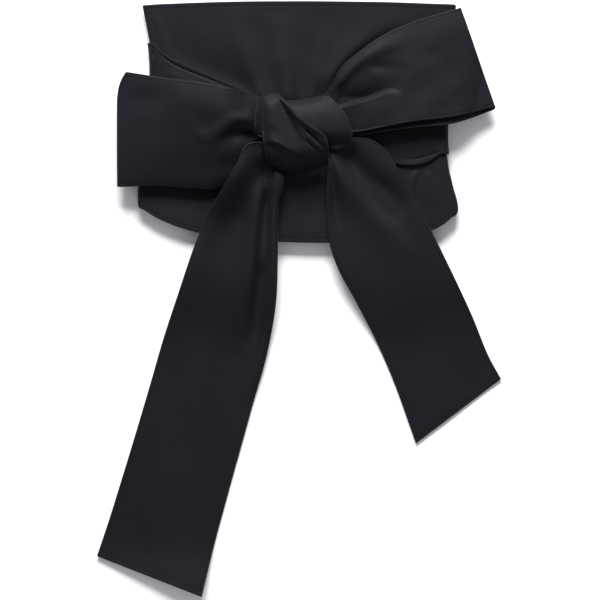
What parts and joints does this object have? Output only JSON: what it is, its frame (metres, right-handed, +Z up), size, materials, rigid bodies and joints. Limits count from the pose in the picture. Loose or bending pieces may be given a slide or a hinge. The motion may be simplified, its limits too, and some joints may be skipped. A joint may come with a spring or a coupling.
{
  "type": "obi sash belt tied in a bow",
  "caption": "Black satin obi sash laid flat: a wide shaped waist panel with long ties crossed behind it and tied in front in a bow with loops, tails and a knot.",
  "frame": {"origin": "on the table, in the middle of the sash's whole outline as it lies", "axes": "+Z up off the table, +Y from the bow's tails to the top edge of the waist panel, +X to the right as the bow is seen"},
  "size_m": [0.3636, 0.535, 0.0401],
  "materials": {
    "satin": "satin"
  },
  "bodies": {
    "root": {"waist_panel": "satin", "ties_crossed_behind": "satin", "tie_band_left": "satin", "tie_band_right": "satin", "bow_loop_left": "satin", "bow_loop_right": "satin", "bow_tail_left": "satin", "bow_tail_right": "satin", "knot_core": "satin", "knot_band": "satin", "knot_tuck": "satin"}
  },
  "joints": []
}
